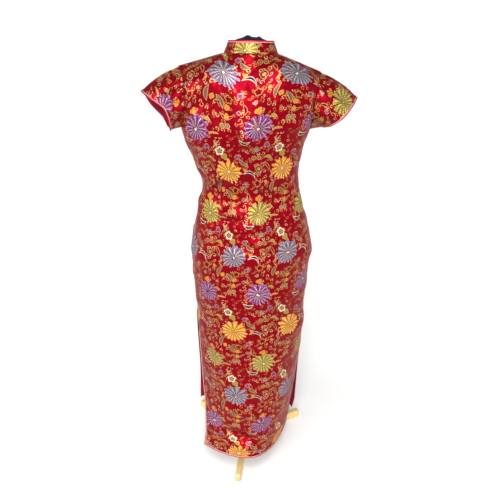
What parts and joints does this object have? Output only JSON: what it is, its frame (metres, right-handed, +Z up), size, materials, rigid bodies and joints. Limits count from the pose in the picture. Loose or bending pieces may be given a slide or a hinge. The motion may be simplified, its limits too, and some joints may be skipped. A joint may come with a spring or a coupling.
{
  "type": "cheongsam dress on dress form",
  "caption": "Ankle-length red brocade cheongsam with short sleeves, stand collar, side slits and bound edges, on a limbless dress form with a wooden tripod.",
  "frame": {"origin": "on the floor under the pole, at the middle of the hub's flat underside", "axes": "+Z up along the pole; the dress faces -Y, its back is at +Y, and the wearer's left is +X"},
  "size_m": [0.5584, 0.3676, 1.3415],
  "materials": {
    "brocade": "red satin brocade woven with gold and coloured flowers",
    "satin": "plain crimson satin",
    "piping": "pale pink corded satin",
    "form_cloth": "matte navy jersey",
    "pine": "light clear-varnished pine"
  },
  "bodies": {
    "root": {"back_panel": "brocade", "binding_back_skirt": "satin", "binding_collar": "satin", "binding_flap": "satin", "binding_front_skirt": "satin", "binding_sleeve_left": "satin", "binding_sleeve_right": "satin", "collar": "brocade", "form_torso": "form_cloth", "frog_chest_bar_flap": "satin", "frog_chest_bar_underlap": "satin", "frog_chest_knot": "satin", "frog_neck_bar_flap": "satin", "frog_neck_bar_underlap": "satin", "frog_neck_knot": "satin", "frog_underarm_bar_flap": "satin", "frog_underarm_bar_underlap": "satin", "frog_underarm_knot": "satin", "front_panel": "brocade", "hub": "pine", "leg_back": "pine", "leg_left": "pine", "leg_right": "pine", "piping_back_skirt": "piping", "piping_collar": "piping", "piping_flap": "piping", "piping_front_skirt": "piping", "piping_sleeve_left": "piping", "piping_sleeve_right": "piping", "pole": "pine", "sleeve_left": "brocade", "sleeve_right": "brocade", "underlap": "brocade"}
  },
  "joints": []
}
